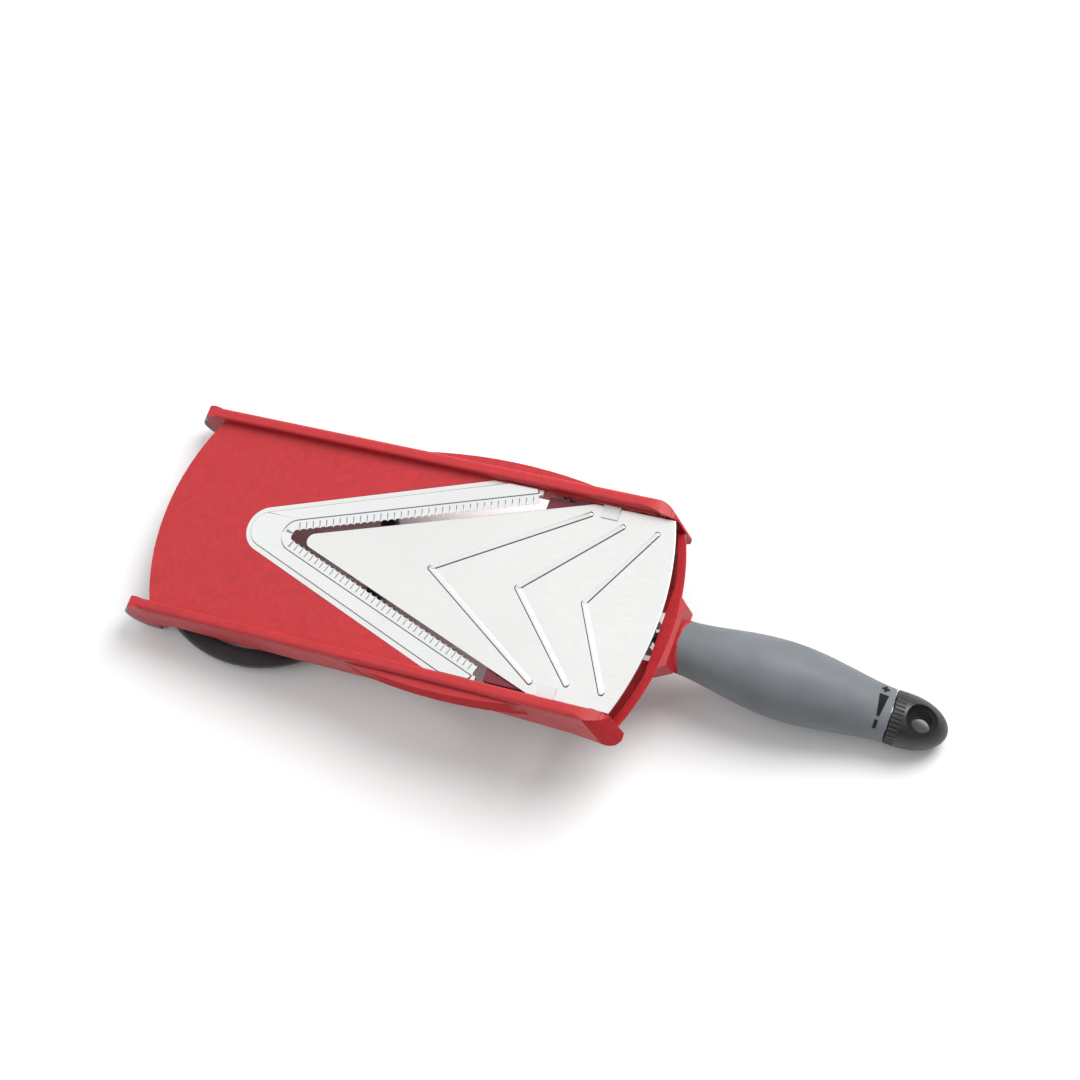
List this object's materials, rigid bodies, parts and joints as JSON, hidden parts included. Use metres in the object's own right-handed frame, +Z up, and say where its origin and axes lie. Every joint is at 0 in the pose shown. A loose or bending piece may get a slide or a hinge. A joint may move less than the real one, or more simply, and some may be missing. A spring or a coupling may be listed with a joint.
{
  "type": "mandoline slicer",
  "caption": "Handheld V-blade slicer with a long handle, an end knob that sets the slice thickness and a folding ring stand.",
  "frame": {"origin": "on the resting surface, under the centre of the bounding box", "axes": "+X along the slicer towards the handle's end knob, +Z up from the resting surface, +Y to the slicer's left seen from the handle's end, over the rails"},
  "size_m": [0.4173, 0.13, 0.0666],
  "materials": {
    "red_plastic": "satin",
    "carriage_plastic": "satin",
    "stainless": "fine brushed",
    "steel_pin": "turned",
    "grey_grip": "matte",
    "grey_pad": "matte",
    "clip_plastic": "satin",
    "black_plastic": "satin",
    "ring_plastic": "satin",
    "bush_plastic": "plain",
    "black_rubber": "matte"
  },
  "bodies": {
    "frame": {"body_frame": "red_plastic", "nose_pads": "grey_pad", "blade_carrier": "stainless", "v_blade": "stainless", "blade_screws": "steel_pin", "front_bush": "bush_plastic", "rear_bush": "bush_plastic", "thrust_washer": "steel_pin", "drag_ring": "black_rubber", "grip_sleeve": "grey_grip", "thickness_marks": "black_plastic", "stand_pin": "steel_pin"},
    "knob": {"adjuster_shaft": "black_plastic", "retaining_clip": "steel_pin", "end_knob": "black_plastic", "knob_pin": "steel_pin"},
    "nut": {"drive_nut": "black_plastic"},
    "ramp": {"ramp_plate": "stainless", "ramp_carriage": "carriage_plastic", "plate_clips": "clip_plastic", "guide_pins": "steel_pin"},
    "stand": {"stand_ring": "ring_plastic", "stand_tread": "black_rubber"}
  },
  "joints": [
    {"name": "knob_turn", "type": "hinge", "parent": "frame", "child": "knob", "pos_m": [0.17936, 0, 0.01438], "axis": [0.9859, 0, -0.1671], "range_deg": [-46, 278]},
    {"name": "nut_slide", "type": "slide", "parent": "frame", "child": "nut", "axis": [0.9859, 0, -0.1671], "range_m": [-0.00115, 0.00695]},
    {"name": "ramp_slide", "type": "slide", "parent": "frame", "child": "ramp", "axis": [0.8057, 0, -0.5923], "range_m": [-0.00141, 0.0092]},
    {"name": "stand_fold", "type": "hinge", "parent": "frame", "child": "stand", "pos_m": [-0.19985, 0, 0.00857], "axis": [0, 1, 0], "range_deg": [0, 60]}
  ],
  "couplings": [
    {"joint": "knob_turn", "follows": "ramp_slide", "rad_per_m": 519.95},
    {"joint": "nut_slide", "follows": "ramp_slide", "ratio": 0.74477}
  ]
}
